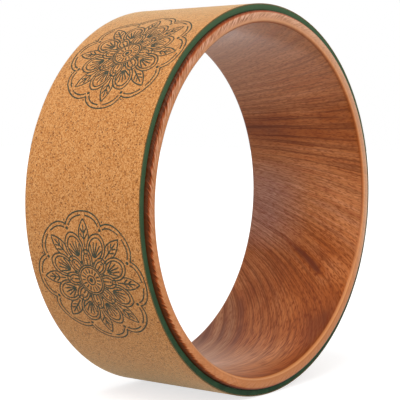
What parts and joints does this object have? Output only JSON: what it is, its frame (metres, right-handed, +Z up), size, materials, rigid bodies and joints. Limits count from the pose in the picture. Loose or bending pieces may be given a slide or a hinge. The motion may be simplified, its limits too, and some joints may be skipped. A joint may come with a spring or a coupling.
{
  "type": "yoga wheel",
  "caption": "Rigid open hoop with a wood-look finish, wrapped in a foam pad and a thin printed cork cover, used to roll, lean and stretch on.",
  "frame": {"origin": "centre of the wheel, on its axle line and halfway across its width", "axes": "+Y along the axle line towards the far rim, +Z up with the wheel standing on its tread, +X to the right seen from the near rim"},
  "size_m": [0.33, 0.128, 0.33],
  "materials": {
    "hoop_wood_grain": "satin",
    "tape_adhesive": "satin",
    "foam_green": "matte",
    "film_glue": "satin",
    "cork": "matte",
    "print_ink": "matte"
  },
  "bodies": {
    "root": {"hoop": "hoop_wood_grain", "pad_tape": "tape_adhesive", "foam_pad": "foam_green", "bonding_film": "film_glue", "cork_cover": "cork"}
  },
  "joints": []
}
